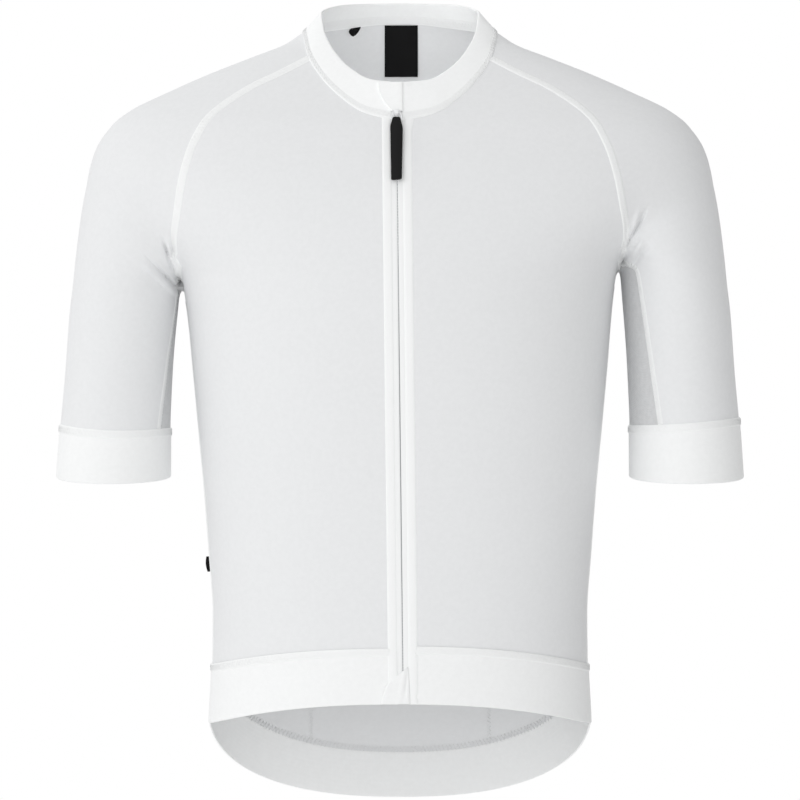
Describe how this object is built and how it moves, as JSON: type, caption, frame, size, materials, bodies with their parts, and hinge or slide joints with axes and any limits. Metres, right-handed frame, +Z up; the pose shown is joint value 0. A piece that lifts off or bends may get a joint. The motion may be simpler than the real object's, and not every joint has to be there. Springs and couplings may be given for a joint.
{
  "type": "cycling jersey",
  "caption": "White short-sleeved cycling jersey in its worn shape, with a full front zip, stand collar, raglan sleeves and rear pockets.",
  "frame": {"origin": "middle of the neck base, level with the neck-shoulder points, where the wearer's shoulders hold the garment up", "axes": "+Z up, the front faces -Y, +X towards the wearer's left arm"},
  "size_m": [0.581, 0.2324, 0.6919],
  "materials": {
    "panel_knit": "matte",
    "trim_knit": "matte",
    "zip_tape": "matte",
    "black_cloth": "matte",
    "black_moulded": "satin",
    "slider_metal": "satin"
  },
  "bodies": {
    "garment": {"front_right": "panel_knit", "front_left": "panel_knit", "back": "panel_knit", "sleeve_right": "panel_knit", "sleeve_left": "panel_knit", "underarm_right": "panel_knit", "underarm_left": "panel_knit", "back_pockets": "panel_knit", "cuff_right": "trim_knit", "cuff_left": "trim_knit", "hem_front_right": "trim_knit", "hem_front_left": "trim_knit", "hem_back": "trim_knit", "collar": "trim_knit", "zip_garage": "trim_knit", "hem_tuck": "trim_knit", "zip_tape_right": "zip_tape", "zip_strip_right": "zip_tape", "zip_tape_left": "zip_tape", "zip_strip_left": "zip_tape", "zip_coil": "zip_tape", "neck_label": "black_cloth", "hanger_tab": "black_cloth", "side_tag": "black_cloth", "zip_slider": "slider_metal"},
    "zip_pull": {"pull_ring": "slider_metal", "pull_tab": "black_moulded"}
  },
  "joints": [
    {"name": "pull_hinge", "type": "hinge", "parent": "garment", "child": "zip_pull", "pos_m": [-0.00287, -0.07913, -0.07503], "axis": [-1, 0, 0], "range_deg": [0, 150]}
  ]
}
